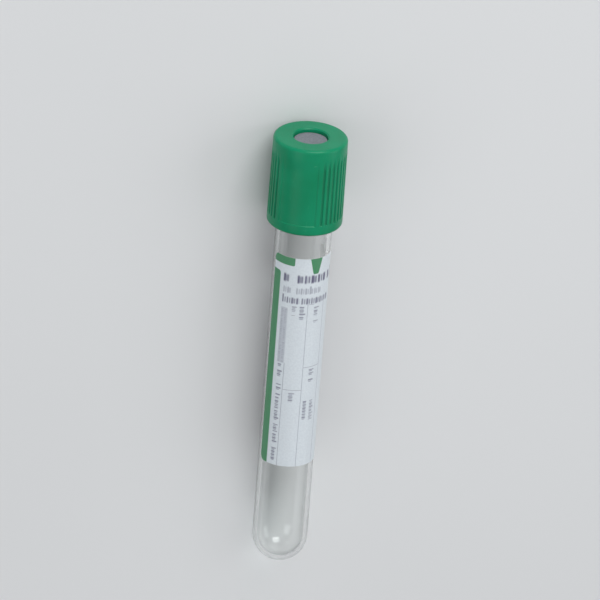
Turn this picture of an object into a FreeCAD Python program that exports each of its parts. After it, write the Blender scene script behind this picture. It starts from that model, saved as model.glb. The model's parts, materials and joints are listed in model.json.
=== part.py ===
import FreeCAD, Part
import math
import os
import Sketcher

# An evacuated blood collection tube, 13 x 100 mm, closed by a rubber stopper in a ribbed plastic
# shield. Every piece is drawn upright about its own Z axis, with the tube's round end at the
# origin, the closure above and +X towards the side that carries the label. The finished pieces
# are laid down together as the tube rests on a table: on its round end and on the shield's
# lower edge, with the closure towards +X and the labelled side up.

# Lengths are in millimetres, angles in degrees and heights above the tube's round end.
SIZES = {
    # The tube.
    "tube_length": 100.0,
    "tube_top_radius": 6.48,
    "tube_end_radius": 6.30,
    "barrel_top": 22.5,
    "bore_top_radius": 5.45,
    "bore_end_radius": 5.25,
    "floor_thickness": 1.05,
    "rim_rounding": 0.35,
    # The label.
    "label_bottom": 26.3,
    "label_top": 78.7,
    "label_thickness": 0.1,
    "label_wrap": 192.0,
    "label_corner": 1.3,
    # The stopper.
    "plug_radius": 5.38,
    "plug_bottom": 90.0,
    "plug_lead": 0.6,
    "plug_lead_length": 1.6,
    "well_radius": 2.4,
    "well_depth": 5.5,
    "flange_radius": 6.9,
    "flange_seat_gap": 0.05,
    "flange_rounding": 0.3,
    "button_radius": 3.85,
    "button_recess": 0.9,
    "dish_radius": 3.3,
    "dish_depth": 0.35,
    # The shield.
    "shield_bottom": 85.3,
    "shield_top": 106.5,
    "shield_radius": 8.60,
    "shield_top_radius": 8.45,
    "shield_top_rounding": 0.8,
    "shield_edge_rounding": 0.7,
    "shield_inner_rounding": 0.25,
    "roof_thickness": 1.75,
    "hole_radius": 3.95,
    "hole_bevel": 0.25,
    "cavity_radius": 7.0,
    "skirt_bore_radius": 7.2,
    "bead_radius": 6.62,
    "bead_drop": 0.15,
    "bead_height": 0.9,
    "bead_slope": 0.6,
    # The shield's grips: two smooth panels with a group of grooves between them on each side.
    "band_height": 2.5,
    "groove_depth": 0.25,
    "panel_depth": 0.15,
    "fade_start": 101.2,
    "fade_end": 103.9,
    "cutter_margin": 1.0,
    "groove_width": 0.58,
    "grooves_in_group": 13,
    "panel_width": 60.0,
    "edge_rib_width": 7.5,
}

# How far the pieces are turned about the tube's axis where they lie.
LYING_TURN = -22.0
LABEL_MIDDLE = 33.5
PANEL_MIDDLE = -13.0
SIDES = {"near": 0.0, "far": 180.0}
TOLERANCE = 1e-4

document = FreeCAD.newDocument("blood_collection_tube")


def fill_sheet():
    """Writes the driving dimensions into a spreadsheet, one named cell each."""
    sheet = document.addObject("Spreadsheet::Sheet", "Sizes")
    for row, (name, number) in enumerate(SIZES.items(), 1):
        sheet.set(f"A{row}", name)
        sheet.set(f"B{row}", str(number))
        sheet.setAlias(f"B{row}", name)
    document.recompute()


def value(sum_of_sizes):
    """The value of a sum such as "tube_length - plug_lead"."""
    total, sign = 0.0, 1.0
    for word in sum_of_sizes.split():
        if word in ("+", "-"):
            sign = 1.0 if word == "+" else -1.0
        else:
            total += sign * SIZES[word]
    return total


def bound(sum_of_sizes):
    """The same sum as an expression on the spreadsheet's cells."""
    words = sum_of_sizes.removeprefix("+ ").split()
    return " ".join(word if word in ("+", "-") else f"Sizes.{word}" for word in words)


def new_body(name):
    body = document.addObject("PartDesign::Body", name)
    body.Label = name
    return body


def new_sketch(body, name, turn=0.0):
    """A sketch on the body's XZ plane, turned about Z: its x is a radius and its y a height."""
    sketch = body.newObject("Sketcher::SketchObject", name)
    plane = next(item for item in body.Origin.OriginFeatures if item.Role == "XZ_Plane")
    sketch.AttachmentSupport = [(plane, "")]
    sketch.MapMode = "FlatFace"
    turned = FreeCAD.Rotation(FreeCAD.Vector(0, 1, 0), turn)
    sketch.AttachmentOffset = FreeCAD.Placement(FreeCAD.Vector(), turned)
    return sketch


def place_point(sketch, item, end, radius, height):
    """Fixes one end of a sketch item at a radius and a height, each a sum of sizes or "zero"."""
    for kind, axis, wanted in (("DistanceX", -2, radius), ("DistanceY", -1, height)):
        if wanted == "zero":
            sketch.addConstraint(Sketcher.Constraint("PointOnObject", item, end, axis))
        else:
            made = sketch.addConstraint(Sketcher.Constraint(kind, item, end, value(wanted)))
            sketch.setExpression(f"Constraints[{made}]", bound(wanted))


def point_at(radius, height):
    """A point of a sketch, its two coordinates each a sum of sizes or "zero"."""
    return FreeCAD.Vector(*(0 if text == "zero" else value(text) for text in (radius, height)))


def axis_centre(start, end):
    """The point of the axis that is equally far from both ends of an arc."""
    height = (end.x**2 + end.y**2 - start.x**2 - start.y**2) / (2 * (end.y - start.y))
    return FreeCAD.Vector(0, height, 0)


def add_arc(sketch, start, end, centre):
    """Adds the shorter arc between two points and returns it with the number of the end that
    lies at the start point."""
    from_angle = math.atan2(start.y - centre.y, start.x - centre.x)
    to_angle = math.atan2(end.y - centre.y, end.x - centre.x)
    first = 1 if (to_angle - from_angle) % (2 * math.pi) < math.pi else 2
    angles = (from_angle, to_angle) if first == 1 else (to_angle, from_angle)
    circle = Part.Circle(centre, FreeCAD.Vector(0, 0, 1), start.distanceToPoint(centre))
    return sketch.addGeometry(Part.ArcOfCircle(circle, *angles)), first


def draw_outline(sketch, corners, domes=(), rounds=None):
    """A closed outline through (radius, height) corners. The side after a corner is straight,
    or an arc centred on the axis where the corner's number is in domes, or an arc with the
    centre and the radius that rounds gives for that number."""
    rounds = rounds or {}
    places = [point_at(*corner) for corner in corners]
    sides = []
    for number, (start, end) in enumerate(zip(places, places[1:] + places[:1])):
        if number in domes:
            item, first = add_arc(sketch, start, end, axis_centre(start, end))
            sketch.addConstraint(Sketcher.Constraint("PointOnObject", item, 3, -2))
        elif number in rounds:
            centre, radius = rounds[number]
            item, first = add_arc(sketch, start, end, point_at(*centre))
            made = sketch.addConstraint(Sketcher.Constraint("Radius", item, value(radius)))
            sketch.setExpression(f"Constraints[{made}]", bound(radius))
        else:
            item, first = sketch.addGeometry(Part.LineSegment(start, end)), 1
        sides.append((item, first, 3 - first))
    for (item, _, last), (following, first, _) in zip(sides, sides[1:] + sides[:1]):
        sketch.addConstraint(Sketcher.Constraint("Coincident", item, last, following, first))
    for (item, first, _), (radius, height) in zip(sides, corners):
        place_point(sketch, item, first, radius, height)


def turn_profile(body, name, sketch, kind="PartDesign::Revolution"):
    """Revolves a sketch about the body's own Z axis."""
    turned = body.newObject(kind, name)
    turned.Profile = sketch
    turned.ReferenceAxis = (sketch, ["V_Axis"])
    sketch.Visibility = False
    return turned


def rings(shape, radius, height):
    """The names of the circular edges with this radius at this height."""
    found = []
    for number, edge in enumerate(shape.Edges, 1):
        if edge.Degenerated or not isinstance(edge.Curve, Part.Circle):
            continue
        away = abs(edge.Curve.Radius - radius) + abs(edge.Curve.Center.z - height)
        if away < TOLERANCE:
            found.append(f"Edge{number}")
    return found


def dress(body, name, kind, setting, size, places):
    """Rounds or bevels the ring edges at the given (radius, height) places."""
    document.recompute()
    base = body.Tip
    edges = [edge for place in places for edge in rings(base.Shape, *map(value, place))]
    if len(edges) < len(places):
        raise SystemExit(f"{name}: an edge is missing")
    dressed = body.newObject(kind, name)
    dressed.Base = (base, edges)
    dressed.setExpression(setting, bound(size))


def cut_smaller(body, volume_before, name):
    """Stops the script where a cut removed nothing."""
    document.recompute()
    if body.Shape.Volume > volume_before - TOLERANCE:
        raise SystemExit(f"{name} cut nothing")
    return body.Shape.Volume


def make_tube():
    """The clear tube: a domed end, a straight lower wall, a slight taper and a rounded rim."""
    body = new_body("tube")
    sketch = new_sketch(body, "tube_section")
    corners = [
        ("zero", "zero"),
        ("tube_end_radius", "tube_end_radius"),
        ("tube_end_radius", "barrel_top"),
        ("tube_top_radius", "tube_length"),
        ("bore_top_radius", "tube_length"),
        ("bore_end_radius", "floor_thickness + bore_end_radius"),
        ("zero", "floor_thickness"),
    ]
    draw_outline(sketch, corners, domes=(0, 5))
    turn_profile(body, "tube_wall", sketch)
    rim = [("tube_top_radius", "tube_length"), ("bore_top_radius", "tube_length")]
    dress(body, "tube_rim", "PartDesign::Fillet", "Radius", "rim_rounding", rim)
    return body


def make_label():
    """The label: a thin sheet that follows the tube's tapered wall, with rounded corners."""
    body = new_body("label")
    sketch = new_sketch(body, "label_section")
    ends = (
        FreeCAD.Vector(value("tube_end_radius"), value("barrel_top"), 0),
        FreeCAD.Vector(value("tube_top_radius"), value("tube_length"), 0),
    )
    wall = sketch.addGeometry(Part.LineSegment(*ends), True)
    place_point(sketch, wall, 1, "tube_end_radius", "barrel_top")
    place_point(sketch, wall, 2, "tube_top_radius", "tube_length")
    inner, outer = value("tube_top_radius"), value("tube_top_radius + label_thickness")
    bottom, top = value("label_bottom"), value("label_top")
    points = [
        FreeCAD.Vector(radius, height, 0)
        for radius, height in ((inner, bottom), (outer, bottom), (outer, top), (inner, top))
    ]
    sides = [
        sketch.addGeometry(Part.LineSegment(start, end))
        for start, end in zip(points, points[1:] + points[:1])
    ]
    lower, outside, upper, inside = sides
    for side, following in zip(sides, sides[1:] + sides[:1]):
        sketch.addConstraint(Sketcher.Constraint("Coincident", side, 2, following, 1))
    for end, height in ((2, "label_bottom"), (1, "label_top")):
        sketch.addConstraint(Sketcher.Constraint("PointOnObject", inside, end, wall))
        made = sketch.addConstraint(
            Sketcher.Constraint("DistanceY", inside, end, value(height))
        )
        sketch.setExpression(f"Constraints[{made}]", bound(height))
    for side, first, last in ((lower, 1, 2), (upper, 2, 1)):
        sketch.addConstraint(Sketcher.Constraint("Horizontal", side))
        thickness = Sketcher.Constraint(
            "DistanceX", side, first, side, last, value("label_thickness")
        )
        made = sketch.addConstraint(thickness)
        sketch.setExpression(f"Constraints[{made}]", bound("label_thickness"))
    sheet = turn_profile(body, "label_sheet", sketch)
    sheet.Midplane = True
    sheet.setExpression("Angle", bound("label_wrap"))
    document.recompute()
    round_label(body)
    return body


def round_label(body):
    """Cuts the label's corners round, square to the tube's wall at each upright edge."""
    half_wrap = SIZES["label_wrap"] / 2
    volume = body.Shape.Volume
    edges = (("first", -half_wrap, "+", "-"), ("last", half_wrap, "-", "+"))
    for edge, angle, inward, outward in edges:
        sketch = new_sketch(body, f"label_corners_{edge}", angle + 90)
        inner = f"{inward} label_corner"
        outer = f"{outward} cutter_margin"
        for height, into, away in (("label_bottom", "+", "-"), ("label_top", "-", "+")):
            tangent = f"{height} {into} label_corner"
            beyond = f"{height} {away} cutter_margin"
            corners = [
                (inner, beyond),
                (outer, beyond),
                (outer, tangent),
                ("zero", tangent),
                (inner, height),
            ]
            draw_outline(sketch, corners, rounds={3: ((inner, tangent), "label_corner")})
        corner_cut = body.newObject("PartDesign::Pocket", f"label_round_{edge}")
        corner_cut.Profile = sketch
        corner_cut.Reversed = True
        corner_cut.setExpression("Length", bound("shield_radius"))
        sketch.Visibility = False
        volume = cut_smaller(body, volume, corner_cut.Name)


def make_stopper():
    """The rubber stopper: a plug with a lead-in and a well, a flange and a dished button."""
    body = new_body("stopper")
    sketch = new_sketch(body, "stopper_section")
    corners = [
        ("zero", "plug_bottom + well_depth"),
        ("well_radius", "plug_bottom + well_depth"),
        ("well_radius", "plug_bottom"),
        ("plug_radius - plug_lead", "plug_bottom"),
        ("plug_radius", "plug_bottom + plug_lead_length"),
        ("plug_radius", "tube_length + flange_seat_gap"),
        ("flange_radius", "tube_length + flange_seat_gap"),
        ("flange_radius", "shield_top - roof_thickness"),
        ("button_radius", "shield_top - roof_thickness"),
        ("button_radius", "shield_top - button_recess"),
        ("dish_radius", "shield_top - button_recess"),
        ("zero", "shield_top - button_recess - dish_depth"),
    ]
    draw_outline(sketch, corners, domes=(10,))
    turn_profile(body, "stopper_rubber", sketch)
    flange_edges = [
        ("flange_radius", "tube_length + flange_seat_gap"),
        ("flange_radius", "shield_top - roof_thickness"),
    ]
    dress(
        body,
        "stopper_flange_edges",
        "PartDesign::Fillet",
        "Radius",
        "flange_rounding",
        flange_edges,
    )
    return body


def cut_panels(body):
    """The two smooth panels, set back a little from the band below them."""
    corners = [
        ("shield_radius - panel_depth", "shield_bottom + band_height"),
        ("shield_top_radius - panel_depth", "fade_start"),
        ("shield_radius", "fade_end"),
        ("shield_radius + cutter_margin", "fade_end"),
        ("shield_radius + cutter_margin", "shield_bottom + band_height"),
    ]
    volume = body.Shape.Volume
    for side, turn in SIDES.items():
        sketch = new_sketch(body, f"panel_section_{side}", turn)
        draw_outline(sketch, corners)
        panel = turn_profile(body, f"panel_{side}", sketch, "PartDesign::Groove")
        panel.Midplane = True
        panel.setExpression("Angle", bound("panel_width"))
        volume = cut_smaller(body, volume, panel.Name)


def cut_grooves(body):
    """The grip grooves: straight slots whose upper ends run out to the surface."""
    corners = [
        ("shield_radius - groove_depth", "shield_bottom + band_height"),
        ("shield_top_radius - groove_depth", "fade_start"),
        ("shield_radius", "fade_end"),
        ("shield_radius + cutter_margin", "fade_end"),
        ("shield_radius + cutter_margin", "shield_bottom + band_height"),
    ]
    count = SIZES["grooves_in_group"]
    group = 180.0 - SIZES["panel_width"] - 2 * SIZES["edge_rib_width"]
    groove_angle = group / (2 * count - 1)
    first = SIZES["panel_width"] / 2 + SIZES["edge_rib_width"] + groove_angle / 2
    volume = body.Shape.Volume
    for side, turn in SIDES.items():
        sketch = new_sketch(body, f"groove_section_{side}", turn + first)
        draw_outline(sketch, corners)
        groove = body.newObject("PartDesign::Pocket", f"groove_{side}")
        groove.Profile = sketch
        groove.Midplane = True
        groove.setExpression("Length", bound("groove_width"))
        sketch.Visibility = False
        volume = cut_smaller(body, volume, groove.Name)
        group_cut = body.newObject("PartDesign::PolarPattern", f"grooves_{side}")
        group_cut.Originals = [groove]
        axis = next(item for item in body.Origin.OriginFeatures if item.Role == "Z_Axis")
        group_cut.Axis = (axis, [""])
        group_cut.Angle = 2 * groove_angle * (count - 1)
        group_cut.setExpression("Occurrences", bound("grooves_in_group"))
        body.Tip = group_cut
        volume = cut_smaller(body, volume, group_cut.Name)


def make_shield():
    """The plastic shield: a roof with the needle hole, a skirt and a bead under the flange."""
    body = new_body("shield")
    sketch = new_sketch(body, "shield_section")
    corners = [
        ("skirt_bore_radius", "shield_bottom"),
        ("shield_radius", "shield_bottom"),
        ("shield_top_radius", "shield_top"),
        ("hole_radius", "shield_top"),
        ("hole_radius", "shield_top - roof_thickness"),
        ("cavity_radius", "shield_top - roof_thickness"),
        ("cavity_radius", "tube_length - bead_drop"),
        ("bead_radius", "tube_length - bead_drop"),
        ("bead_radius", "tube_length - bead_drop - bead_height"),
        ("skirt_bore_radius", "tube_length - bead_drop - bead_height - bead_slope"),
    ]
    draw_outline(sketch, corners)
    turn_profile(body, "shield_wall", sketch)
    rounded = "PartDesign::Fillet", "Radius"
    top = [("shield_top_radius", "shield_top")]
    dress(body, "shield_top_edge", *rounded, "shield_top_rounding", top)
    lower = [("shield_radius", "shield_bottom")]
    dress(body, "shield_lower_edge", *rounded, "shield_edge_rounding", lower)
    inner = [("skirt_bore_radius", "shield_bottom")]
    dress(body, "shield_inner_edge", *rounded, "shield_inner_rounding", inner)
    hole = [("hole_radius", "shield_top")]
    dress(body, "hole_edge", "PartDesign::Chamfer", "Size", "hole_bevel", hole)
    document.recompute()
    cut_panels(body)
    cut_grooves(body)
    return body


def resting_angle():
    """How far the closure's end is raised when the tube lies on its domed end and on the
    rounded lower edge of the shield: the line that touches both circles."""
    dome = value("tube_end_radius")
    edge = value("shield_edge_rounding")
    along = value("shield_bottom + shield_edge_rounding - tube_end_radius")
    out = value("shield_radius - shield_edge_rounding")
    centres = math.hypot(along, out)
    return math.degrees(math.atan2(out, along) - math.asin((dome - edge) / centres))


def lay_down(bodies, turns):
    """Lays the bodies down, with the middle of their common box over the origin."""
    raised = math.radians(resting_angle())
    towards_closure = FreeCAD.Vector(math.cos(raised), 0, math.sin(raised))
    labelled_side = FreeCAD.Vector(-math.sin(raised), 0, math.cos(raised))
    across = towards_closure.cross(labelled_side)
    lying = FreeCAD.Rotation(labelled_side, across, towards_closure, "ZXY")
    for body in bodies:
        about_axis = FreeCAD.Rotation(FreeCAD.Vector(0, 0, 1), turns[body.Name] + LYING_TURN)
        body.Placement = FreeCAD.Placement(FreeCAD.Vector(), lying.multiply(about_axis))
    document.recompute()
    box = FreeCAD.BoundBox()
    for body in bodies:
        box.add(body.Shape.optimalBoundingBox(False))
    to_origin = FreeCAD.Vector(-box.Center.x, 0, -box.ZMin)
    for body in bodies:
        body.Placement.Base = to_origin
    document.recompute()


def check(bodies):
    """Stops the script where an object failed or a piece is not one valid solid."""
    for item in document.Objects:
        if {"Invalid", "Error"} & set(item.State):
            raise SystemExit(f"{item.Name} failed: {item.State}")
    for body in bodies:
        if body.Shape.isNull() or not body.Shape.isValid() or len(body.Shape.Solids) != 1:
            raise SystemExit(f"{body.Name} is not one valid solid")


fill_sheet()
pieces = [make_tube(), make_label(), make_stopper(), make_shield()]
lay_down(
    pieces,
    {"tube": 0.0, "label": LABEL_MIDDLE, "stopper": 0.0, "shield": PANEL_MIDDLE},
)
check(pieces)
os.makedirs("parts", exist_ok=True)
for piece in pieces:
    piece.Shape.exportStep(f"parts/{piece.Label}.step")
    print(piece.Label, round(piece.Shape.Volume, 2), "mm3", piece.Shape.BoundBox)
print("resting angle", round(resting_angle(), 3))
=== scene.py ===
import json
import math

import bpy
import numpy as np
from mathutils import Matrix, Vector


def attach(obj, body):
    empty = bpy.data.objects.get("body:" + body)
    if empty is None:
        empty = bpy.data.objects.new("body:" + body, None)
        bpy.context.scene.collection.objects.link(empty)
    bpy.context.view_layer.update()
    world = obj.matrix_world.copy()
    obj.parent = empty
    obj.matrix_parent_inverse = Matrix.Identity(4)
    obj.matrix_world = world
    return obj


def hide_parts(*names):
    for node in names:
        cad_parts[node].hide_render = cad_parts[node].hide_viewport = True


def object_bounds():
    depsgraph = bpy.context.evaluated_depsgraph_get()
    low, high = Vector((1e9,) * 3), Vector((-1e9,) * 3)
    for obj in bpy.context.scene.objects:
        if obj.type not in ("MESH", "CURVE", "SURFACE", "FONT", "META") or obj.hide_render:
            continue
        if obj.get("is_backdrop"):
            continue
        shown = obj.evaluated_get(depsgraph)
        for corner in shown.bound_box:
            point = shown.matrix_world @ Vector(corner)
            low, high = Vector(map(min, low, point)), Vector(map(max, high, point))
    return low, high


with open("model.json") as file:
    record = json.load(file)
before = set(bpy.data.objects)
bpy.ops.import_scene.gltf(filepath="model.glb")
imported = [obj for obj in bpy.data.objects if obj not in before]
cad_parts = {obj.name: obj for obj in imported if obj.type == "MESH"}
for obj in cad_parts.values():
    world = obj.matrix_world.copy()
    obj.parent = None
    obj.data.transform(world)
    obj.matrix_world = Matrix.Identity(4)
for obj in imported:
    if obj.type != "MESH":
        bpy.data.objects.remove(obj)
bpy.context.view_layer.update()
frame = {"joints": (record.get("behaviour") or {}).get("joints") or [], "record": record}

# A blood collection tube lying on a floor: a clear tube with a printed label, closed by a rubber
# stopper in a green shield. The pieces are made upright about their own Z axis, with the tube's
# round end at the origin and +X towards the front of the label, and are then laid down where the
# frame says. Their sizes are in millimetres and degrees, and agree with the CAD model.
MM = 0.001

# How the tube lies: the turn from straight up to the front of the label, and the height up the
# tube of the mount on its lower wall, from which its place is worked out.
LYING_TURN = -22.0
LOWER_WALL_HEIGHT = 14.4

# The tube. Its wall is straight up to BARREL_TOP, and widens a little from there to its rim.
# Here and below, an edge's size is the radius to which it is rounded.
TUBE_LENGTH = 100.0
TUBE_END_RADIUS, TUBE_TOP_RADIUS = 6.30, 6.48
BARREL_TOP = 22.5
BORE_END_RADIUS, BORE_TOP_RADIUS = 5.25, 5.45
FLOOR_THICKNESS = 1.05
RIM_EDGE = 0.35

# The label. LABEL_FACE and LABEL_BACK are how far its two sides stand from the tube's wall, into
# which the back is sunk a little, and LABEL_ARC is its length for each degree round the tube.
LABEL_BOTTOM, LABEL_TOP = 26.3, 78.7
LABEL_MIDDLE, LABEL_WRAP = 33.5, 192.0
LABEL_CORNER = 1.3
LABEL_FACE, LABEL_BACK = 0.085, -0.02
LABEL_ARC = 0.1134

# The shield. Its skirt goes over the tube, and the stopper's flange has its room between the
# roof and the bead, which snaps in under it.
SHIELD_BOTTOM, SHIELD_TOP = 85.3, 106.5
SHIELD_RADIUS, SHIELD_TOP_RADIUS = 8.60, 8.45
SKIRT_EDGE, SKIRT_BORE_EDGE, ROOF_EDGE = 0.7, 0.25, 0.8
SKIRT_BORE = 7.2
HOLE_RADIUS = 3.95
ROOF_UNDERSIDE = SHIELD_TOP - 1.75
FLANGE_ROOM = 7.0
BEAD_RADIUS = 6.62
BEAD_BOTTOM, BEAD_TOP = 98.95, 99.83

# The shield's relief: two smooth sunk panels, with grooves between them on each side and a wide
# rib beside each panel. A flank is the width over which a groove or a panel goes down. Upwards,
# the relief starts at RELIEF_BOTTOM, just over the plain band, and has faded out at RELIEF_TOP.
PANEL_MIDDLES = (-13.0, 167.0)
PANEL_HALF, PANEL_FLANK, PANEL_DEPTH = 30.0, 1.2, 0.15
EDGE_RIB = 7.5
GROOVES = 13
GROOVE_PITCH = 2 * (180.0 - 2 * PANEL_HALF - 2 * EDGE_RIB) / (2 * GROOVES - 1)
GROOVE_HALF, GROOVE_FLANK, GROOVE_DEPTH = 1.95, 0.85, 0.25
BAND_TOP = SHIELD_BOTTOM + 2.5
RELIEF_BOTTOM, RELIEF_RISE = BAND_TOP - 0.09, 0.2
RELIEF_TOP, RELIEF_FADE = 104.3, 3.4

# The stopper.
PLUG_BOTTOM, PLUG_RADIUS = 90.0, 5.38
WELL_TOP, WELL_RADIUS = 95.5, 2.4
FLANGE_BOTTOM, FLANGE_RADIUS = 100.05, 6.9
BUTTON_TOP, BUTTON_RADIUS = SHIELD_TOP - 0.9, 3.85
DISH_RADIUS, DISH_DEPTH = 3.3, 0.35

# What the meshes carry for their materials: the place on the piece in its upright frame, how deep
# it is in a groove, from 0 to 1, which sets the painted shade in the grooves, and the place on
# the label when it is laid flat.
UPRIGHT = "upright_place"
GROOVE = "groove"
LABEL_PLANE = "label_plane"


# ---------------------------------------------------------------------------- meshes


def lying_matrix():
    """Takes a point from the pieces' own upright frame to the frame in which they lie."""
    along = Vector(frame["joints"][0]["axis"]).normalized()
    wall = next(mount for mount in frame["record"]["mounts"] if mount["name"] == "lower_wall")
    base = Vector(wall["pos_m"]) - along * LOWER_WALL_HEIGHT * MM
    up = (Vector((0, 0, 1)) - along * along.z).normalized()
    turn = math.radians(LYING_TURN)
    front = up * math.cos(turn) + along.cross(up) * math.sin(turn)
    across = along.cross(front)
    axes = Matrix((front, across, along)).transposed().to_4x4()
    return Matrix.Translation(base) @ axes


LYING = lying_matrix()


def add_piece(name, points, faces, materials, sharp):
    """A smooth mesh object from points in the upright frame, laid down. Edges that turn by more
    than sharp degrees stay sharp, and the mesh keeps the upright places for its materials."""
    upright = np.asarray(points, float)
    laid = upright * MM @ np.array(LYING.to_3x3()).T + np.array(LYING.translation)
    mesh = bpy.data.meshes.new(name)
    mesh.from_pydata(laid.tolist(), [], faces)
    mesh.update()
    for material in materials:
        mesh.materials.append(material)
    for polygon in mesh.polygons:
        polygon.use_smooth = True
    mesh.set_sharp_from_angle(angle=math.radians(sharp))
    layer = mesh.attributes.new(UPRIGHT, "FLOAT_VECTOR", "POINT")
    layer.data.foreach_set("vector", upright.ravel())
    piece = bpy.data.objects.new(name, mesh)
    bpy.context.scene.collection.objects.link(piece)
    return piece


def smooth_step(x):
    """Goes smoothly from 0 to 1 as x does."""
    x = np.clip(x, 0.0, 1.0)
    return x * x * (3 - 2 * x)


def arc(centre, radius, start, end, steps):
    """Points (radius, height) of an arc, its angles in degrees from the outward direction."""
    turns = np.radians(np.linspace(start, end, steps))
    return [
        (centre[0] + radius * math.cos(turn), centre[1] + radius * math.sin(turn))
        for turn in turns
    ]


def revolve(radii, heights, angles):
    """Points and faces of a turned surface with a row of radii, one for each angle, at each
    height. A surface that starts and ends on the axis has one point at each of its ends. Any
    other is a ring, whose last row joins its first."""
    turns = np.radians(angles)
    rows, columns = radii.shape
    levels = np.broadcast_to(heights[:, None], radii.shape)
    grid = np.stack((radii * np.cos(turns), radii * np.sin(turns), levels), axis=-1)
    points = grid.reshape(-1, 3)
    numbers = np.arange(rows * columns).reshape(rows, columns)
    is_ring = radii[0].max() > 0
    if not is_ring:
        first, last = columns - 1, (rows - 1) * columns
        points = points[first : last + 1]
        numbers = np.clip(numbers, first, last) - first
    numbers = numbers.tolist()
    faces = []
    for row in range(rows if is_ring else rows - 1):
        here, above = numbers[row], numbers[(row + 1) % rows]
        for column in range(columns):
            beside = (column + 1) % columns
            corners = (here[column], here[beside], above[beside], above[column])
            faces.append(list(dict.fromkeys(corners)))
    return points, faces


def turned_piece(name, profile, material, segments, sharp):
    """A piece turned from a (radius, height) profile that starts and ends on the axis."""
    profile = np.array(profile)
    radii = np.repeat(profile[:, :1], segments, axis=1)
    points, faces = revolve(radii, profile[:, 1], np.arange(segments) * 360.0 / segments)
    return add_piece(name, points, faces, [material], sharp)


# ---------------------------------------------------------------------------- shader kit


class Graph:
    """Short names for building a node tree. A source is a node's output or a plain value."""

    def __init__(self, tree):
        self.tree = tree
        self.tree.nodes.clear()

    def node(self, kind, **settings):
        made = self.tree.nodes.new(kind)
        for name, setting in settings.items():
            setattr(made, name, setting)
        return made

    def put(self, source, socket):
        """Links a source to a socket, or sets the socket to it."""
        if isinstance(source, bpy.types.NodeSocket):
            self.tree.links.new(source, socket)
        else:
            socket.default_value = source

    def feed(self, node, *sources, **named):
        """Gives a node its sources, in order or by their sockets' names, with _ for a space."""
        for source, socket in zip(sources, node.inputs):
            self.put(source, socket)
        for name, source in named.items():
            self.put(source, node.inputs[name.replace("_", " ")])
        return node

    def maths(self, operation, *sources):
        return self.feed(self.node("ShaderNodeMath", operation=operation), *sources).outputs[0]

    def vector(self, operation, *sources):
        made = self.feed(self.node("ShaderNodeVectorMath", operation=operation), *sources)
        return made.outputs["Value" if operation == "LENGTH" else "Vector"]

    def ramp(self, value, low, high, to_low=0.0, to_high=1.0):
        """Goes smoothly from to_low to to_high as the value goes from low to high."""
        made = self.node("ShaderNodeMapRange", interpolation_type="SMOOTHSTEP")
        return self.feed(made, value, low, high, to_low, to_high).outputs["Result"]

    def mix(self, share, first, second):
        """A colour between two: the first where the share is 0, the second where it is 1."""
        made = self.node("ShaderNodeMix", data_type="RGBA")
        # The sockets for colours have the names of those for numbers, so they go by number.
        for source, number in ((share, 0), (first, 6), (second, 7)):
            self.put(source, made.inputs[number])
        return made.outputs[2]

    def noise(self, place, scale, detail, roughness=0.5):
        made = self.node("ShaderNodeTexNoise")
        self.feed(made, Vector=place, Scale=scale, Detail=detail, Roughness=roughness)
        return made.outputs["Fac"]

    def split(self, vector):
        return self.feed(self.node("ShaderNodeSeparateXYZ"), vector).outputs

    def combine(self, x, y):
        return self.feed(self.node("ShaderNodeCombineXYZ"), x, y).outputs[0]

    def bump(self, height, distance, strength, **below):
        """A bumped normal, on top of the Normal of another bump where one is given."""
        made = self.node("ShaderNodeBump")
        self.feed(made, Height=height, Distance=distance, Strength=strength, **below)
        return made.outputs["Normal"]

    def carried(self, name, output):
        """What the mesh carries under a name."""
        return self.node("ShaderNodeAttribute", attribute_name=name).outputs[output]

    def chance(self, *numbers):
        """A number from 0 to 1 that looks random, made from whole numbers. The factors only
        have to be uneven."""
        total = 0.0
        for number, factor in zip(numbers, (12.9898, 78.233, 37.719)):
            total = self.maths("ADD", self.maths("MULTIPLY", number, factor), total)
        wave = self.maths("MULTIPLY", self.maths("SINE", total), 4375.8545)
        return self.maths("FRACT", wave)

    def use(self, group, **sources):
        """Places a shader group, and gives its outputs."""
        return self.feed(self.node("ShaderNodeGroup", node_tree=group), **sources).outputs


FLOAT, VECTOR = "NodeSocketFloat", "NodeSocketVector"


def new_group(name, inputs, outputs):
    """An empty shader group with the given sockets, its graph, its inputs and its end."""
    group = bpy.data.node_groups.new(name, "ShaderNodeTree")
    graph = Graph(group)
    for socket, kind in inputs.items():
        group.interface.new_socket(socket, in_out="INPUT", socket_type=kind)
    for socket in outputs:
        group.interface.new_socket(socket, in_out="OUTPUT", socket_type=FLOAT)
    start = graph.node("NodeGroupInput").outputs
    end = graph.node("NodeGroupOutput")
    return group, graph, start, end


def make_patch_group():
    """A rounded rectangle of ink in the plane of the label, over what is under it."""
    inputs = {
        "Place": VECTOR,
        "Under": FLOAT,
        "Centre": VECTOR,
        "Half Size": VECTOR,
        "Corner": FLOAT,
        "Softness": FLOAT,
    }
    group, graph, start, end = new_group("ink_patch", inputs, ["Ink"])
    away = graph.vector("ABSOLUTE", graph.vector("SUBTRACT", start["Place"], start["Centre"]))
    corner = graph.combine(start["Corner"], start["Corner"])
    inner = graph.vector("SUBTRACT", start["Half Size"], corner)
    beyond_x, beyond_y, _ = graph.split(graph.vector("SUBTRACT", away, inner))
    outside_x = graph.maths("MAXIMUM", beyond_x, 0.0)
    outside_y = graph.maths("MAXIMUM", beyond_y, 0.0)
    outside = graph.vector("LENGTH", graph.combine(outside_x, outside_y))
    inside = graph.maths("MINIMUM", graph.maths("MAXIMUM", beyond_x, beyond_y), 0.0)
    distance = graph.maths("SUBTRACT", graph.maths("ADD", outside, inside), start["Corner"])
    inner_edge = graph.maths("MULTIPLY", start["Softness"], -1.0)
    ink = graph.ramp(distance, inner_edge, start["Softness"], 1.0, 0.0)
    graph.feed(end, Ink=graph.maths("MAXIMUM", ink, start["Under"]))
    return group


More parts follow.
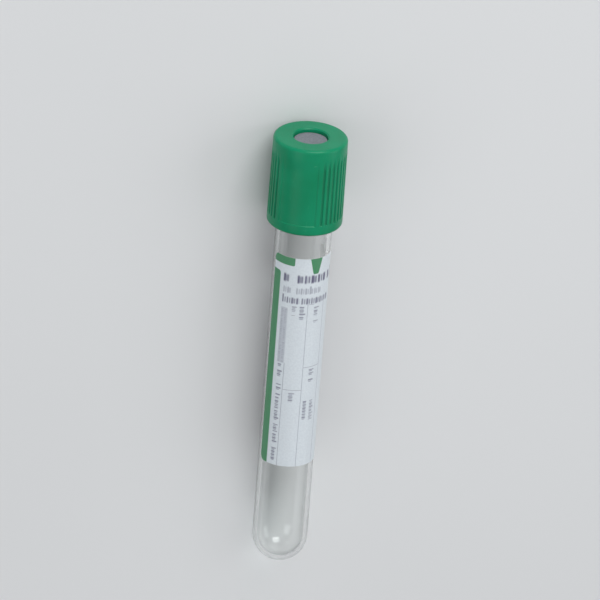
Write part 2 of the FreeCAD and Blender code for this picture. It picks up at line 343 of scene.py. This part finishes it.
def make_words_group():
    """A row of greeked words over what is under it: soft blocks with darker upright strokes,
    wide or narrow, tall or short, with a gap here and there. There are no letters in it. Inside
    a cell of the row, places go from 0 to 1 across it and from 0 at its foot to 1 at its top."""
    inputs = {
        "Place": VECTOR,
        "Under": FLOAT,
        "Start": FLOAT,
        "End": FLOAT,
        "Middle": FLOAT,
        "Height": FLOAT,
        "Letter": FLOAT,
        "Seed": FLOAT,
        "Tone": FLOAT,
    }
    group, graph, start, end = new_group("greeked_words", inputs, ["Ink"])
    along, down, _ = graph.split(start["Place"])
    run = graph.maths("SUBTRACT", along, start["Start"])
    letters = graph.maths("DIVIDE", run, start["Letter"])
    cell = graph.maths("FLOOR", letters)
    within = graph.maths("SUBTRACT", letters, cell)
    rise = graph.maths("SUBTRACT", start["Middle"], down)
    rise = graph.maths("ADD", graph.maths("DIVIDE", rise, start["Height"]), 0.5)

    def band(value, middle, half, soft):
        """1 within half of the middle, softly down to 0 beyond it."""
        away = graph.maths("ABSOLUTE", graph.maths("SUBTRACT", value, middle))
        return graph.ramp(graph.maths("SUBTRACT", away, half), -soft, soft, 1.0, 0.0)

    def luck(number):
        """A number from 0 to 1 that differs from cell to cell."""
        return graph.chance(cell, start["Seed"], float(number))

    def picked(number, share):
        """1 in this share of the cells, 0 in the others."""
        return graph.maths("LESS_THAN", luck(number), share)

    def between(share, low, high):
        """From low to high, as the share goes from 0 to 1."""
        return graph.maths("ADD", graph.maths("MULTIPLY", share, high - low), low)

    # Each mark is its spread across the cell, its reach up the cell and its strength.
    top = between(picked(1, 0.3), 0.75, 1.0)
    tall = graph.ramp(graph.maths("SUBTRACT", rise, top), -0.14, 0.14, 1.0, 0.0)
    short = band(rise, 0.34, 0.34, 0.14)
    half_width = between(luck(3), 0.12, 0.24)
    first_stroke = (band(within, 0.22, half_width, 0.12), tall, 0.9)
    seldom_missing = graph.maths("MULTIPLY", picked(2, 0.8), 0.85)
    second_stroke = (band(within, 0.72, 0.11, 0.14), short, seldom_missing)
    uneven = graph.maths("MULTIPLY", luck(4), 0.7)
    block = (band(within, 0.46, 0.32, 0.12), short, uneven)
    ink = 0.0
    for spread, reach, strength in (first_stroke, second_stroke, block):
        drawn = graph.maths("MULTIPLY", graph.maths("MULTIPLY", spread, reach), strength)
        ink = graph.maths("MAXIMUM", drawn, ink)

    # The ink stays between the row's foot, start and end, and out of its gaps.
    first_cell = graph.maths("LESS_THAN", cell, 0.5)
    limits = (
        graph.ramp(rise, -0.16, 0.08),
        graph.maths("GREATER_THAN", run, 0.0),
        graph.maths("LESS_THAN", along, start["End"]),
        graph.maths("MAXIMUM", picked(5, 0.84), first_cell),
        start["Tone"],
    )
    for limit in limits:
        ink = graph.maths("MULTIPLY", ink, limit)
    graph.feed(end, Ink=graph.maths("MAXIMUM", ink, start["Under"]))
    return group


def make_surface_group():
    """Moulded plastic: a very fine grain, faint flow waves and a few handling marks."""
    inputs = {"Place": VECTOR, "Grain Scale": FLOAT}
    outputs = ["Grain", "Flow", "Marks"]
    group, graph, start, end = new_group("moulded_surface", inputs, outputs)
    place = start["Place"]
    grain = graph.noise(place, start["Grain Scale"], 3.0)
    flow = graph.noise(graph.vector("MULTIPLY", place, (1.0, 1.0, 0.25)), 0.35, 1.0)
    scuffs = graph.node("ShaderNodeTexVoronoi", feature="DISTANCE_TO_EDGE")
    graph.feed(scuffs, Vector=graph.vector("MULTIPLY", place, (1.0, 0.35, 0.15)), Scale=0.9)
    thin = graph.ramp(scuffs.outputs["Distance"], 0.0, 0.012, 1.0, 0.0)
    rare = graph.ramp(graph.noise(place, 0.5, 1.0), 0.56, 0.66)
    graph.feed(end, Grain=grain, Flow=flow, Marks=graph.maths("MULTIPLY", thin, rare))
    return group


def make_fibres_group():
    """Paper: a fine cloud of fibres, rougher where the unevenness is nearer to 1."""
    inputs = {"Place": VECTOR, "Scale": FLOAT, "Unevenness": FLOAT}
    group, graph, start, end = new_group("paper_fibres", inputs, ["Fibres"])
    fibres = graph.noise(start["Place"], start["Scale"], 4.0, start["Unevenness"])
    graph.feed(end, Fibres=fibres)
    return group


PATCH = make_patch_group()
WORDS = make_words_group()
SURFACE = make_surface_group()
FIBRES = make_fibres_group()


def srgb(red, green, blue):
    """A linear colour from sRGB numbers of 0 to 255."""

    def linear(number):
        share = number / 255
        return share / 12.92 if share <= 0.04045 else ((share + 0.055) / 1.055) ** 2.4

    return (linear(red), linear(green), linear(blue), 1.0)


def new_material(name):
    """A material with a plain shader, its graph, the shader and the material's end."""
    material = bpy.data.materials.new(name)
    material.use_nodes = True
    graph = Graph(material.node_tree)
    shader = graph.node("ShaderNodeBsdfPrincipled")
    end = graph.node("ShaderNodeOutputMaterial")
    graph.feed(end, Surface=shader.outputs[0])
    return material, graph, shader, end


# ---------------------------------------------------------------------------- materials


def make_clear_plastic():
    """Clear polished plastic, with painted shade that makes it greyer where it is seen edge on,
    that casts only a faint shadow.
    """
    material, graph, shader, end = new_material("clear_plastic")
    surface = graph.use(SURFACE, Place=graph.carried(UPRIGHT, "Vector"), Grain_Scale=1.6)
    grazing = graph.feed(graph.node("ShaderNodeLayerWeight"), Blend=0.35)
    # Painted shade: the colour goes grey where the surface is seen edge on, to draw dark edges.
    painted_edge_shade = graph.ramp(grazing.outputs["Facing"], 0.30, 0.95)
    graph.feed(
        shader,
        Base_Color=graph.mix(painted_edge_shade, (0.94, 0.95, 0.945, 1), (0.34, 0.38, 0.38, 1)),
        Transmission_Weight=1.0,
        IOR=1.57,
        Roughness=graph.ramp(surface["Marks"], 0.0, 1.0, 0.02, 0.12),
        Normal=graph.bump(surface["Flow"], 0.004 * MM, 0.4),
    )
    for_shadows = graph.node("ShaderNodeLightPath").outputs["Is Shadow Ray"]
    clear = graph.feed(graph.node("ShaderNodeBsdfTransparent"), Color=(0.93, 0.94, 0.94, 1))
    blend = graph.node("ShaderNodeMixShader")
    graph.feed(blend, for_shadows, shader.outputs[0], clear.outputs[0])
    graph.feed(end, Surface=blend.outputs[0])
    return material


def make_shield_plastic():
    """Green satin plastic, with painted shade that makes it a little darker down in its grooves.
    """
    material, graph, shader, _ = new_material("shield_plastic")
    place = graph.carried(UPRIGHT, "Vector")
    surface = graph.use(SURFACE, Place=place, Grain_Scale=5.0)
    cloud = graph.ramp(graph.noise(place, 0.12, 2.0), 0.35, 0.65)
    colour = graph.mix(cloud, srgb(0, 130, 89), srgb(4, 138, 97))
    # Painted shade: the colour goes darker where the point lies deep in a groove.
    painted_groove_shade = graph.maths("MULTIPLY", graph.carried(GROOVE, "Fac"), 0.4)
    colour = graph.mix(painted_groove_shade, colour, srgb(8, 88, 62))
    marks = graph.maths("MULTIPLY", surface["Marks"], 0.25)
    colour = graph.mix(marks, colour, srgb(90, 175, 140))
    grain = graph.bump(surface["Grain"], 0.006 * MM, 0.6)
    graph.feed(
        shader,
        Base_Color=colour,
        Roughness=graph.ramp(surface["Grain"], 0.3, 0.7, 0.30, 0.40),
        IOR=1.5,
        Specular_IOR_Level=0.25,
        Subsurface_Weight=0.12,
        Subsurface_Radius=(0.25, 1.0, 0.5),
        Subsurface_Scale=0.8 * MM,
        Normal=graph.bump(surface["Flow"], 0.05 * MM, 0.5, Normal=grain),
    )
    return material


def make_stopper_rubber():
    """Matt grey rubber with a fine mottle and pale specks."""
    material, graph, shader, _ = new_material("stopper_rubber")
    place = graph.carried(UPRIGHT, "Vector")
    mottle = graph.ramp(graph.noise(place, 1.8, 4.0, 0.65), 0.35, 0.68)
    colour = graph.mix(mottle, srgb(111, 116, 123), srgb(127, 131, 138))
    specks = graph.ramp(graph.noise(place, 9.0, 2.0), 0.60, 0.72)
    colour = graph.mix(graph.maths("MULTIPLY", specks, 0.35), colour, srgb(170, 164, 170))
    graph.feed(
        shader,
        Base_Color=colour,
        Roughness=0.72,
        Sheen_Weight=0.1,
        Normal=graph.bump(graph.noise(place, 6.0, 4.0, 0.7), 0.03 * MM, 0.7),
    )
    return material


# The label's print, in millimetres from its left edge and down from its top edge. A box is its
# left, top, right and bottom and the radius of its corners, and one that runs off the label
# starts at OFF_START or ends at OFF_END. The wedge is a box about WEDGE_MIDDLE, each of whose
# sides comes in by WEDGE_SLOPE for each millimetre down.
OFF_START, OFF_END = -1.0, 54.0
GREEN_BOXES = [(OFF_START, 3.9, 2.3, OFF_END, 0.6), (OFF_START, OFF_START, 5.8, 2.0, 0.4)]
WEDGE_BOX = (-1.55, OFF_START, 1.55, 3.85, 0.3)
WEDGE_MIDDLE, WEDGE_SLOPE = 10.9, 0.23
SMALL_PRINT = (3.15, 12.6, 4.85, 26.5, 0.1)

# An upright rule is its place and its top, and it runs off the label. A level rule is its place,
# left and right.
RULE_WIDTH = 0.12
UPRIGHT_RULES = [(4.95, 26.4), (9.40, 11.4), (13.95, 11.4)]
LEVEL_RULES = [(11.4, 9.40, 11.2), (33.0, 5.00, 9.45), (27.3, 9.45, 14.0)]

# A row of words is its start, end, middle, height, letter width and tone. The captions run down
# the label, with their tops towards the right.
HEADING = [
    (3.2, 18.5, 4.75, 2.5, 1.65, 1.0),
    (3.3, 12.6, 7.8, 1.9, 1.05, 0.5),
    (3.2, 15.6, 10.3, 1.9, 1.15, 0.85),
]
CAPTIONS = [
    (13.0, 26.4, 3.62, 0.62, 0.42, 0.55),
    (13.0, 26.4, 4.45, 0.62, 0.42, 0.55),
    (26.8, 51.4, 4.0, 1.15, 0.85, 0.75),
    (11.9, 14.3, 6.4, 1.1, 0.75, 0.6),
    (11.9, 15.9, 8.3, 1.3, 0.85, 0.7),
    (12.2, 16.2, 11.8, 1.3, 0.85, 0.7),
    (33.7, 36.2, 7.2, 1.3, 0.85, 0.7),
    (27.9, 31.3, 11.7, 1.3, 0.85, 0.75),
    (35.9, 40.6, 10.7, 1.15, 0.8, 0.75),
    (35.9, 40.9, 12.5, 1.15, 0.8, 0.65),
]
INK_GREEN = srgb(72, 140, 99)
INK_DARK = srgb(70, 64, 104)


def after(graph, ink, place):
    """The same place, reached by way of the ink before it, so that the many rows are worked out
    one after another and not all at once, which would be more than a material can hold."""
    if not isinstance(ink, bpy.types.NodeSocket):
        return place
    nothing = graph.maths("MULTIPLY", ink, 1e-9)
    return graph.vector("ADD", place, graph.combine(nothing, nothing))


def add_patches(graph, ink, place, boxes, softness=0.035):
    """The ink with boxes added to it."""
    for left, top, right, bottom, corner in boxes:
        ink = graph.use(
            PATCH,
            Place=after(graph, ink, place),
            Under=ink,
            Centre=((left + right) / 2, (top + bottom) / 2, 0),
            Half_Size=((right - left) / 2, (bottom - top) / 2, 0),
            Corner=corner,
            Softness=softness,
        )["Ink"]
    return ink


def add_words(graph, ink, place, rows, seed, side=1):
    """The ink with rows of greeked words added to it. The side is -1 for rows that run down the
    label, whose place is turned."""
    for number, (first, last, middle, height, letter, tone) in enumerate(rows):
        ink = graph.use(
            WORDS,
            Place=after(graph, ink, place),
            Under=ink,
            Start=first,
            End=last,
            Middle=side * middle,
            Height=height,
            Letter=letter,
            Seed=seed + number,
            Tone=tone,
        )["Ink"]
    return ink


def make_label_paper():
    """Coated paper with a green stripe and head, ruled columns and greeked rows."""
    material, graph, shader, _ = new_material("label_paper")
    across, down, _ = graph.split(graph.node("ShaderNodeUVMap", uv_map=LABEL_PLANE).outputs[0])
    place = graph.combine(across, down)
    turned_place = graph.combine(down, graph.maths("MULTIPLY", across, -1.0))

    green = add_patches(graph, 0.0, place, GREEN_BOXES)
    aside = graph.maths("ABSOLUTE", graph.maths("SUBTRACT", across, WEDGE_MIDDLE))
    narrowing = graph.maths("MULTIPLY", down, WEDGE_SLOPE)
    wedge_place = graph.combine(graph.maths("ADD", aside, narrowing), down)
    green = add_patches(graph, green, wedge_place, [WEDGE_BOX])

    lines = [(at, top, at + RULE_WIDTH, OFF_END, 0.0) for at, top in UPRIGHT_RULES]
    lines += [(left, at, right, at + RULE_WIDTH, 0.0) for at, left, right in LEVEL_RULES]
    rules = add_patches(graph, 0.0, place, lines, 0.06)
    small_print = add_patches(graph, 0.0, place, [SMALL_PRINT], 0.15)
    ink = add_words(graph, 0.0, place, HEADING, 1.0)
    ink = add_words(graph, ink, turned_place, CAPTIONS, 41.0, -1)
    for pale_ink, tone in ((rules, 0.5), (small_print, 0.26)):
        ink = graph.maths("MAXIMUM", ink, graph.maths("MULTIPLY", pale_ink, tone))

    upright = graph.carried(UPRIGHT, "Vector")
    fibres = graph.use(FIBRES, Place=upright, Scale=2.2, Unevenness=0.6)["Fibres"]
    paper = graph.mix(graph.ramp(fibres, 0.3, 0.7), srgb(211, 219, 226), srgb(219, 227, 233))
    worn = graph.ramp(graph.noise(place, 5.0, 3.0, 0.7), 0.30, 0.42, 0.86, 1.0)
    colour = graph.mix(graph.maths("MULTIPLY", green, worn), paper, INK_GREEN)
    colour = graph.mix(graph.maths("MULTIPLY", ink, worn), colour, INK_DARK)
    paper_height = graph.maths("MULTIPLY", fibres, 0.5)
    height = graph.maths("ADD", paper_height, graph.maths("MULTIPLY", ink, 0.3))
    graph.feed(
        shader,
        Base_Color=colour,
        Roughness=graph.ramp(fibres, 0.3, 0.7, 0.42, 0.52),
        Subsurface_Weight=0.3,
        Subsurface_Radius=(1.0, 1.0, 1.0),
        Subsurface_Scale=0.15 * MM,
        Normal=graph.bump(height, 0.01 * MM, 0.5),
    )
    return material


def make_label_back():
    """The label's unprinted back, seen through the tube."""
    material, graph, shader, _ = new_material("label_back")
    upright = graph.carried(UPRIGHT, "Vector")
    fibres = graph.use(FIBRES, Place=upright, Scale=1.6, Unevenness=0.65)["Fibres"]
    graph.feed(
        shader,
        Base_Color=graph.mix(
            graph.ramp(fibres, 0.3, 0.7), srgb(222, 225, 227), srgb(230, 232, 234)
        ),
        Roughness=0.7,
        Subsurface_Weight=1.0,
        Subsurface_Radius=(1.0, 1.0, 1.0),
        Subsurface_Scale=1.0 * MM,
    )
    return material


# ---------------------------------------------------------------------------- pieces


def wall_radius(height):
    """The tube's outer radius at a height on its straight or tapered wall."""
    share = max(0.0, (height - BARREL_TOP) / (TUBE_LENGTH - BARREL_TOP))
    return TUBE_END_RADIUS + (TUBE_TOP_RADIUS - TUBE_END_RADIUS) * share


def bore_radius(height):
    """The bore's radius at a height above its round end."""
    bottom = FLOOR_THICKNESS + BORE_END_RADIUS
    share = (height - bottom) / (TUBE_LENGTH - bottom)
    return BORE_END_RADIUS + (BORE_TOP_RADIUS - BORE_END_RADIUS) * share


def make_tube():
    """The clear tube: domed end with a faint gate mark, tapered wall and rounded rim."""
    gate_mark = [(0.0, 0.05), (0.35, 0.05), (0.5, 0.075), (0.62, 0.045), (0.8, 0.052)]
    gate_radius = 0.9
    dome = arc((0, TUBE_END_RADIUS), TUBE_END_RADIUS, -90, 0, 30)
    profile = gate_mark + [point for point in dome if point[0] > gate_radius]
    barrel = [TUBE_END_RADIUS + step for step in (4.0, 8.0, 12.0)]
    taper = np.linspace(BARREL_TOP, TUBE_LENGTH - 1.0, 12)
    profile += [(wall_radius(height), height) for height in [*barrel, *taper]]
    rim_height = TUBE_LENGTH - RIM_EDGE
    profile += arc((TUBE_TOP_RADIUS - RIM_EDGE, rim_height), RIM_EDGE, 0, 90, 9)
    profile += arc((BORE_TOP_RADIUS + RIM_EDGE, rim_height), RIM_EDGE, 90, 180, 9)
    bore_bottom = FLOOR_THICKNESS + BORE_END_RADIUS
    bore = np.linspace(TUBE_LENGTH - 1.5, bore_bottom, 12)
    profile += [(bore_radius(height), height) for height in bore]
    profile += arc((0, bore_bottom), BORE_END_RADIUS, 0, -90, 26)[1:-1]
    profile += [(0.0, FLOOR_THICKNESS)]
    piece = turned_piece("clear_tube", profile, make_clear_plastic(), 192, 40)
    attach(piece, "tube")
    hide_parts("tube")


def corner_cut(turn):
    """How far the label's rounded corners cut back its lower and upper edges at a turn."""
    before = LABEL_CORNER - min(turn, LABEL_WRAP - turn) * LABEL_ARC
    return LABEL_CORNER - math.sqrt(LABEL_CORNER**2 - before**2) if before > 0 else 0.0


def make_label():
    """The label: a thin sheet on the tube's wall, with rounded corners."""
    corner_end = LABEL_CORNER / LABEL_ARC
    corner_turns = np.linspace(0, corner_end, 6, endpoint=False)
    middle_turns = np.linspace(corner_end, LABEL_WRAP - corner_end, 132)
    turns = [*corner_turns, *middle_turns, *(LABEL_WRAP - corner_turns[::-1])]
    rows = 10
    points, flat = [], []
    for lift in (LABEL_FACE, LABEL_BACK):
        for turn in turns:
            cut = corner_cut(turn)
            angle = math.radians(LABEL_MIDDLE - LABEL_WRAP / 2 + turn)
            for height in np.linspace(LABEL_BOTTOM + cut, LABEL_TOP - cut, rows + 1):
                radius = wall_radius(height) + lift
                points.append((radius * math.cos(angle), radius * math.sin(angle), height))
                flat.append((turn * LABEL_ARC, LABEL_TOP - height))

    columns, line = len(turns), rows + 1
    back = columns * line
    printed, plain = 0, 1
    faces, slots = [], []
    for column in range(columns - 1):
        for first in range(column * line, column * line + rows):
            faces.append((first, first + line, first + line + 1, first + 1))
            slots.append(printed)
            behind = back + first
            faces.append((behind, behind + 1, behind + line + 1, behind + line))
            slots.append(plain)
    outline = [column * line for column in range(columns)]
    outline += [(columns - 1) * line + row for row in range(1, line)]
    outline += [column * line + rows for column in range(columns - 2, -1, -1)]
    outline += list(range(rows - 1, 0, -1))
    for first, second in zip(outline, outline[1:] + outline[:1]):
        faces.append((first, back + first, back + second, second))
        slots.append(plain)

    piece = add_piece("printed_label", points, faces, [make_label_paper(), make_label_back()], 40)
    piece.data.polygons.foreach_set("material_index", slots)
    layer = piece.data.uv_layers.new(name=LABEL_PLANE)
    for loop in piece.data.loops:
        layer.data[loop.index].uv = flat[loop.vertex_index]
    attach(piece, "tube")
    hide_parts("label")


def make_stopper():
    """The rubber stopper: well, plug with a lead-in, flange and dished button."""
    profile = [(0.0, WELL_TOP), (WELL_RADIUS - 0.5, WELL_TOP)]
    profile += arc((WELL_RADIUS - 0.3, WELL_TOP - 0.3), 0.3, 90, 0, 5)[1:]
    profile += arc((WELL_RADIUS + 0.2, PLUG_BOTTOM + 0.2), 0.2, 180, 270, 5)
    profile += arc((PLUG_RADIUS - 0.8, PLUG_BOTTOM + 0.2), 0.2, -90, -20, 5)
    profile += [(PLUG_RADIUS - 0.18, PLUG_BOTTOM + 1.2)]
    profile += arc((PLUG_RADIUS - 0.3, PLUG_BOTTOM + 1.75), 0.3, -10, 0, 3)
    profile += [(PLUG_RADIUS, height) for height in (93.5, 97.0, FLANGE_BOTTOM - 0.3)]
    profile += arc((PLUG_RADIUS + 0.25, FLANGE_BOTTOM - 0.25), 0.25, 180, 90, 4)
    profile += [(FLANGE_RADIUS - 0.7, FLANGE_BOTTOM)]
    profile += arc((FLANGE_RADIUS - 0.3, FLANGE_BOTTOM + 0.3), 0.3, -90, 0, 6)
    profile += arc((FLANGE_RADIUS - 0.3, ROOF_UNDERSIDE - 0.3), 0.3, 0, 90, 6)
    for step, rise in ((0.35, 0.0), (0.1, 0.02), (0.0, 0.1)):
        profile += [(BUTTON_RADIUS + step, ROOF_UNDERSIDE + rise)]
    profile += arc((BUTTON_RADIUS - 0.2, BUTTON_TOP - 0.2), 0.2, 0, 90, 6)
    profile += [(BUTTON_RADIUS - 0.4, BUTTON_TOP)]
    for radius in (DISH_RADIUS, 3.0, 2.5, 1.9, 1.2, 0.6, 0.0):
        dish = DISH_DEPTH * (1 - (radius / DISH_RADIUS) ** 2)
        profile += [(radius, BUTTON_TOP - dish)]
    piece = turned_piece("rubber_stopper", profile, make_stopper_rubber(), 128, 35)
    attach(piece, "closure")
    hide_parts("stopper")


def groove_middles():
    """The directions of the grip grooves, which lie between the panels."""
    first = PANEL_HALF + EDGE_RIB + GROOVE_PITCH / 4
    steps = [first + number * GROOVE_PITCH for number in range(GROOVES)]
    return [panel + step for panel in PANEL_MIDDLES for step in steps]


def sunk_share(angles, middles, half, flank):
    """How much of its full depth a groove or panel about one of the middles has at each angle."""
    share = np.zeros(len(angles))
    for middle in middles:
        away = np.abs((angles - middle + 180.0) % 360.0 - 180.0)
        share = np.maximum(share, smooth_step((half + flank / 2 - away) / flank))
    return share


def shield_angles():
    """Angles round the shield, close together where a groove or a panel ends."""
    angles = []
    for middle in PANEL_MIDDLES:
        angles += list(middle + np.linspace(-PANEL_HALF + 1.5, PANEL_HALF - 1.5, 29))
        for step in (-0.6, -0.2, 0.2, 0.6, 2.0, 4.0, 6.0):
            angles += [middle - PANEL_HALF - step, middle + PANEL_HALF + step]
    grooves = groove_middles()
    for middle in grooves:
        for step in (0.6, 1.45, 1.66, GROOVE_HALF, 2.24, 2.5):
            angles += [middle - step, middle + step]
    angles += [(first + second) / 2 for first, second in zip(grooves, grooves[1:])]
    return np.array(sorted({round(angle % 360.0, 5) for angle in angles}))


def shield_radius(height):
    """The radius of the shield's outer wall at a height, without its relief."""
    share = (height - SHIELD_BOTTOM) / (SHIELD_TOP - SHIELD_BOTTOM)
    return SHIELD_RADIUS + (SHIELD_TOP_RADIUS - SHIELD_RADIUS) * share


def relief_share(height):
    """How much of its full depth the relief has at a height on the outer wall."""
    rise = smooth_step((height - RELIEF_BOTTOM) / RELIEF_RISE)
    return rise * smooth_step((RELIEF_TOP - height) / RELIEF_FADE)


def make_shield():
    """The green shield: ribbed outer wall, flat roof with a bevelled hole, and inner bead."""
    foot, shoulder = SHIELD_BOTTOM + SKIRT_EDGE, SHIELD_TOP - ROOF_EDGE
    bore_edge = (SKIRT_BORE + SKIRT_BORE_EDGE, SHIELD_BOTTOM + SKIRT_BORE_EDGE)
    lower_edge = arc(bore_edge, SKIRT_BORE_EDGE, 180, 270, 5)
    lower_edge += arc((shield_radius(foot) - SKIRT_EDGE, foot), SKIRT_EDGE, -90, 0, 9)

    wall = [BAND_TOP - 0.6, BAND_TOP - 0.12]
    wall += [RELIEF_BOTTOM + RELIEF_RISE * share for share in (0.0, 0.15, 0.5, 0.85, 1.0)]
    wall += [BAND_TOP + 0.3, 89.5, 92.0, 95.0, 98.0, 100.0, 100.8]
    wall += list(np.linspace(RELIEF_TOP - 3.0, RELIEF_TOP, 9))

    roof = arc((shield_radius(shoulder) - ROOF_EDGE, shoulder), ROOF_EDGE, 0, 90, 11)
    roof += [(radius, SHIELD_TOP) for radius in (7.2, 6.4, 5.6, 4.8)]
    roof += arc((HOLE_RADIUS + 0.37, SHIELD_TOP - 0.12), 0.12, 90, 135, 4)
    roof += arc((HOLE_RADIUS + 0.1, SHIELD_TOP - 0.31), 0.1, 135, 180, 4)
    inside = [
        (HOLE_RADIUS, SHIELD_TOP - 0.9),
        (HOLE_RADIUS, ROOF_UNDERSIDE + 0.05),
        (HOLE_RADIUS + 0.03, ROOF_UNDERSIDE),
        (FLANGE_ROOM - 0.2, ROOF_UNDERSIDE),
        (FLANGE_ROOM, ROOF_UNDERSIDE - 0.2),
        (FLANGE_ROOM, BEAD_TOP + 0.07),
        (FLANGE_ROOM - 0.1, BEAD_TOP + 0.02),
        (BEAD_RADIUS + 0.04, BEAD_TOP),
        (BEAD_RADIUS, BEAD_TOP - 0.05),
        (BEAD_RADIUS, BEAD_BOTTOM + 0.05),
        (BEAD_RADIUS + 0.04, BEAD_BOTTOM - 0.05),
        (SKIRT_BORE - 0.04, BEAD_BOTTOM - 0.56),
        (SKIRT_BORE, BEAD_BOTTOM - 0.62),
        (SKIRT_BORE, 92.0),
        (SKIRT_BORE, 86.0),
    ]

    rows = [(radius, height, 0.0) for radius, height in lower_edge]
    rows += [(shield_radius(height), height, relief_share(height)) for height in wall]
    rows += [(radius, height, 0.0) for radius, height in roof + inside]
    radii, heights, relief = np.array(rows).T
    angles = shield_angles()
    groove = sunk_share(angles, groove_middles(), GROOVE_HALF, GROOVE_FLANK)
    panel = sunk_share(angles, PANEL_MIDDLES, PANEL_HALF, PANEL_FLANK)
    radii = radii[:, None] - np.outer(relief, GROOVE_DEPTH * groove + PANEL_DEPTH * panel)
    points, faces = revolve(radii, heights, angles)
    piece = add_piece("green_shield", points, faces, [make_shield_plastic()], 50)
    # How deep each point lies in a groove, for the painted shade in the grooves.
    layer = piece.data.attributes.new(GROOVE, "FLOAT", "POINT")
    layer.data.foreach_set("value", np.outer(relief, groove).ravel())
    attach(piece, "closure")
    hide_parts("shield")


# ---------------------------------------------------------------------------- stage, in metres


def make_floor():
    """A wide pale floor."""
    mesh = bpy.data.meshes.new("floor")
    half = 3.0
    corners = [(-half, -half, 0), (half, -half, 0), (half, half, 0), (-half, half, 0)]
    mesh.from_pydata(corners, [], [(0, 1, 2, 3)])
    floor = bpy.data.objects.new("floor", mesh)
    bpy.context.scene.collection.objects.link(floor)
    material, graph, shader, _ = new_material("floor_paper")
    place = graph.node("ShaderNodeTexCoord").outputs["Object"]
    cloud = graph.ramp(graph.noise(place, 4.0, 2.0), 0.3, 0.7)
    colour = graph.mix(cloud, srgb(214, 216, 218), srgb(218, 220, 222))
    graph.feed(shader, Base_Color=colour, Roughness=0.85)
    mesh.materials.append(material)
    floor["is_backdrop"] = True


def add_area_light(name, place, size, power):
    """A rectangular lamp that faces the object."""
    light = bpy.data.lights.new(name, "AREA")
    light.shape = "RECTANGLE"
    light.size, light.size_y = size
    light.energy = power
    lamp = bpy.data.objects.new(name, light)
    bpy.context.scene.collection.objects.link(lamp)
    lamp.location = place
    object_middle = Vector((0.0, 0.0, 0.008))
    facing = object_middle - Vector(place)
    lamp.rotation_euler = facing.to_track_quat("-Z", "Y").to_euler()


def make_lights():
    """A key light from the closure's end, a soft light on each side, and a pale sky."""
    add_area_light("key_light", (0.95, -0.12, 0.58), (0.7, 0.7), 7.5)
    add_area_light("left_light", (0.0, 0.85, 0.55), (0.9, 0.5), 2.0)
    add_area_light("right_light", (0.05, -0.85, 0.55), (0.9, 0.5), 2.0)
    world = bpy.data.worlds.new("studio")
    bpy.context.scene.world = world
    world.use_nodes = True
    graph = Graph(world.node_tree)
    end = graph.node("ShaderNodeOutputWorld")
    background = graph.node("ShaderNodeBackground")
    _, _, height = graph.split(graph.node("ShaderNodeTexCoord").outputs["Generated"])
    colour = graph.mix(graph.ramp(height, 0.05, 0.75), (0.18, 0.19, 0.20, 1), (1.0, 1.0, 1.0, 1))
    graph.feed(background, Color=colour, Strength=0.55)
    graph.feed(end, Surface=background.outputs[0])


def make_camera():
    """A long lens that looks at the lying tube from its front, a little from the closure's
    end, with the tube nearly upright in the frame and room for the closure's travel."""
    raised, lean = math.radians(25.7), math.radians(4.5)
    distance = 3.0
    low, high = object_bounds()
    along, front = (LYING.to_3x3() @ Vector(axis) for axis in ((0, 0, 1), (1, 0, 0)))
    travel = frame["record"]["behaviour"]["joints"][0]["range_m"][1]
    target = (low + high) / 2 + along * travel / 2
    towards = along * math.sin(raised) + front * math.cos(raised)
    upright = (along - towards * along.dot(towards)).normalized()
    right = upright.cross(towards)
    up = upright * math.cos(lean) - right * math.sin(lean)
    side = up.cross(towards)
    data = bpy.data.cameras.new("camera")
    data.sensor_width = 36.0
    data.lens = 795.0
    data.clip_start = 0.05
    camera = bpy.data.objects.new("camera", data)
    bpy.context.scene.collection.objects.link(camera)
    turn = Matrix((side, up, towards)).transposed().to_4x4()
    camera.matrix_world = Matrix.Translation(target + towards * distance) @ turn
    bpy.context.scene.camera = camera


bpy.context.scene.view_settings.view_transform = "Standard"
make_tube()
make_label()
make_stopper()
make_shield()
make_floor()
make_lights()
make_camera()
bpy.context.view_layer.update()
